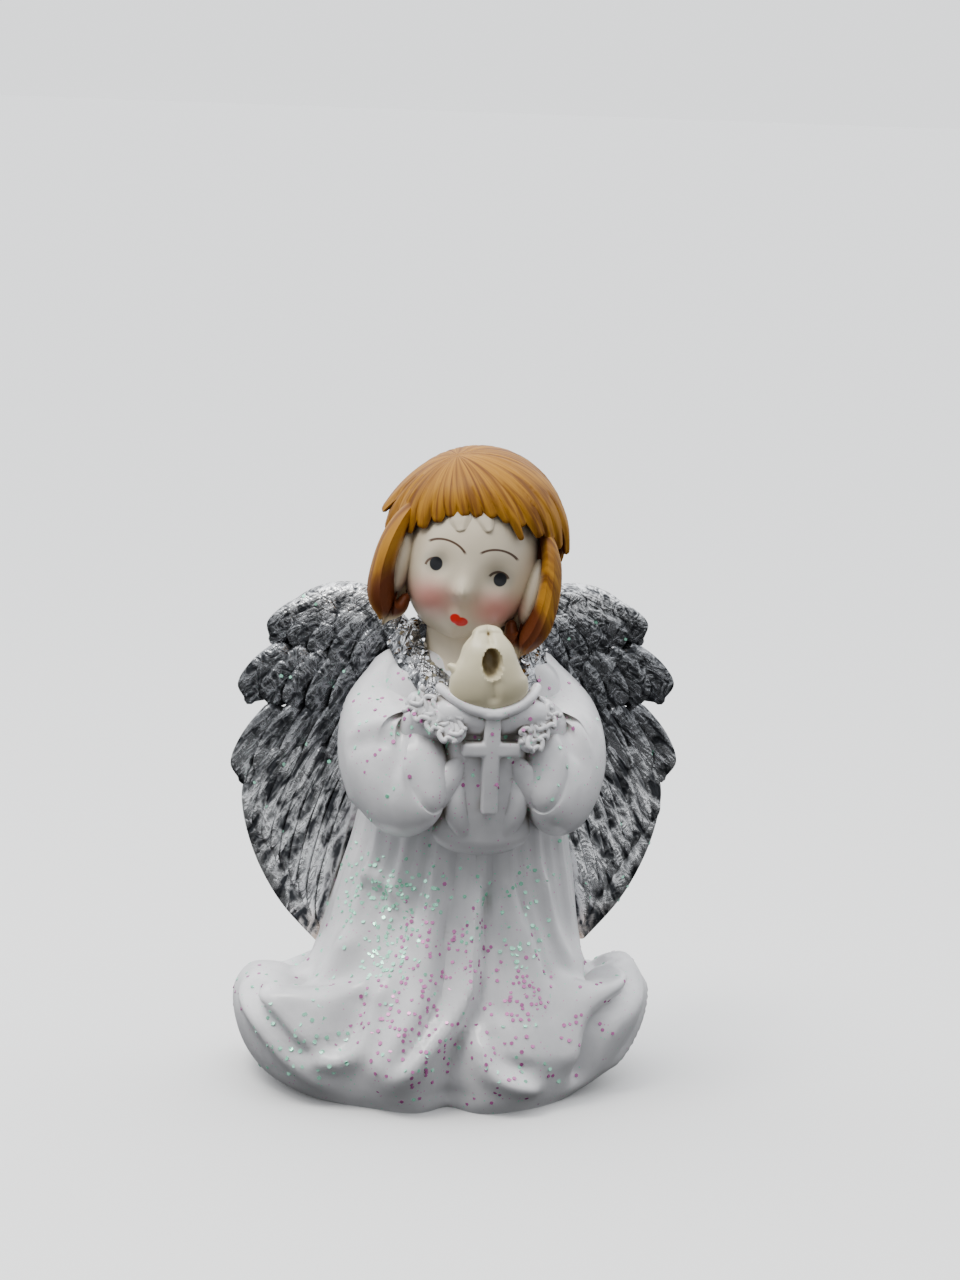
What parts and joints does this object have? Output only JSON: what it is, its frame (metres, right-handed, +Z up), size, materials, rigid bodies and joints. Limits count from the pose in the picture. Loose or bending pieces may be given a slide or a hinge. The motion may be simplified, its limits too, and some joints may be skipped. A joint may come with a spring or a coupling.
{
  "type": "angel figurine",
  "caption": "Small kneeling angel figurine with folded wings, praying hands over a cross and a draped robe; a grave or shelf ornament that stands on its flat underside.",
  "frame": {"origin": "on the flat underside, below the middle of the body", "axes": "+Z up, the figure faces -Y, +X towards the figure's left"},
  "size_m": [0.0681, 0.0481, 0.0933],
  "materials": {
    "painted_resin": "cast polyester resin, painted and lacquered to a satin finish with glitter"
  },
  "bodies": {
    "root": {"angel_figure": "painted_resin"}
  },
  "joints": []
}
